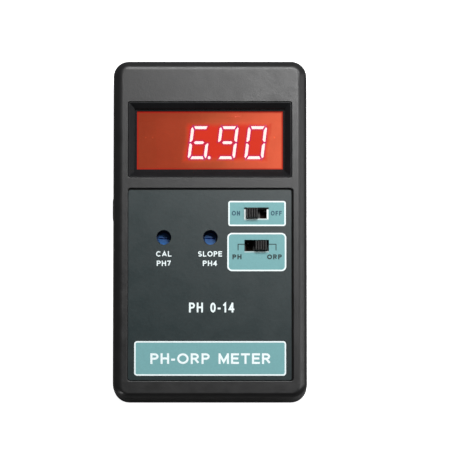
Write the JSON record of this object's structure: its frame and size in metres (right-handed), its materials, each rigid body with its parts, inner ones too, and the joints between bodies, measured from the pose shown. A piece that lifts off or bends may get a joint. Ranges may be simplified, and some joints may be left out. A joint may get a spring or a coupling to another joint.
{
  "type": "handheld ph meter",
  "caption": "Handheld pH and redox meter: flat black case, red LED display behind a tinted window, label plate, slide switches, trimmer holes, recessed probe socket, sliding battery door.",
  "frame": {"origin": "centre of the case's back face, which rests on the bench", "axes": "+Z is the outward normal of the front face, +Y runs along the length towards the probe socket, +X is to the right of a reader facing the display"},
  "size_m": [0.0728, 0.1267, 0.0285],
  "materials": {
    "case_black": "fine matte moulded texture",
    "rear_black": "fine matte moulded texture",
    "bezel_black": "satin moulded",
    "red_filter": "clear polished",
    "label_slate": "fine grained printed film",
    "print_teal": "matte screen print",
    "print_white": "matte screen print",
    "print_dark": "matte screen print",
    "led_body": "moulded",
    "led_lit": "glowing epoxy",
    "led_unlit": "diffuse epoxy",
    "tinned": "dull tin",
    "board_green": "solder mask",
    "screw_steel": "zinc plated",
    "switch_steel": "bright sheet",
    "switch_brown": "pressed laminate",
    "knob_black": "satin moulded",
    "trimmer_blue": "moulded",
    "rotor_blue": "moulded",
    "cup_black": "satin moulded",
    "nickel": "nickel plated",
    "insulator_ivory": "waxy",
    "contact_gold": "gold plated",
    "jack_black": "moulded",
    "chip_black": "moulded",
    "sleeve_blue": "shrink sleeve",
    "film_red": "dipped",
    "resistor_tan": "lacquered",
    "battery_jacket": "printed metal",
    "snap_black": "vinyl",
    "lead_red": "vinyl",
    "lead_black": "vinyl",
    "foam_grey": "open-cell foam"
  },
  "bodies": {
    "case": {"front_case": "case_black", "rear_case": "rear_black", "display_bezel": "bezel_black", "window_filter": "red_filter", "front_label": "label_slate", "case_screws": "screw_steel", "display_module": "led_body", "display_segments_lit": "led_lit", "display_segments_unlit": "led_unlit", "display_pins": "tinned", "main_board": "board_green", "board_screws": "screw_steel", "power_switch_frame": "switch_steel", "power_switch_base": "switch_brown", "power_switch_terminals": "tinned", "mode_switch_frame": "switch_steel", "mode_switch_base": "switch_brown", "mode_switch_terminals": "tinned", "cal_trimmer_body": "trimmer_blue", "slope_trimmer_body": "trimmer_blue", "trimmer_pins": "tinned", "socket_cup": "cup_black", "probe_socket_shell": "nickel", "probe_socket_insulator": "insulator_ivory", "probe_socket_contact": "contact_gold", "probe_socket_washer": "nickel", "probe_socket_nut": "nickel", "probe_wire": "lead_black", "power_jack_body": "jack_black", "power_jack_pin": "nickel", "power_jack_terminals": "tinned", "converter_chip": "chip_black", "converter_chip_legs": "tinned", "converter_socket": "chip_black", "converter_socket_pins": "contact_gold", "amplifier_chip": "chip_black", "amplifier_chip_legs": "tinned", "voltage_regulator": "chip_black", "voltage_regulator_legs": "tinned", "electrolytic_capacitors": "sleeve_blue", "film_capacitors": "film_red", "capacitor_leads": "tinned", "resistors": "resistor_tan", "resistor_leads": "tinned", "battery": "battery_jacket", "battery_terminals": "nickel", "battery_snap": "snap_black", "battery_lead_red": "lead_red", "battery_lead_black": "lead_black", "battery_pad": "foam_grey"},
    "power_knob": {"power_switch_knob": "knob_black"},
    "mode_knob": {"mode_switch_knob": "knob_black"},
    "cal_rotor": {"cal_trimmer_rotor": "rotor_blue"},
    "slope_rotor": {"slope_trimmer_rotor": "rotor_blue"},
    "door": {"battery_door": "rear_black"}
  },
  "joints": [
    {"name": "power_switch_slide", "type": "slide", "parent": "case", "child": "power_knob", "axis": [1, 0, 0], "range_m": [0, 0.0032]},
    {"name": "mode_switch_slide", "type": "slide", "parent": "case", "child": "mode_knob", "axis": [1, 0, 0], "range_m": [-0.0032, 0]},
    {"name": "cal_trimmer_turn", "type": "hinge", "parent": "case", "child": "cal_rotor", "pos_m": [-0.0171, -0.0033, 0.0207], "axis": [0, 0, 1], "range_deg": [-120, 120]},
    {"name": "slope_trimmer_turn", "type": "hinge", "parent": "case", "child": "slope_rotor", "pos_m": [0.0002, -0.0033, 0.0207], "axis": [0, 0, 1], "range_deg": [-120, 120]},
    {"name": "battery_door_slide", "type": "slide", "parent": "case", "child": "door", "axis": [0, -1, 0], "range_m": [0, 0.036]}
  ]
}
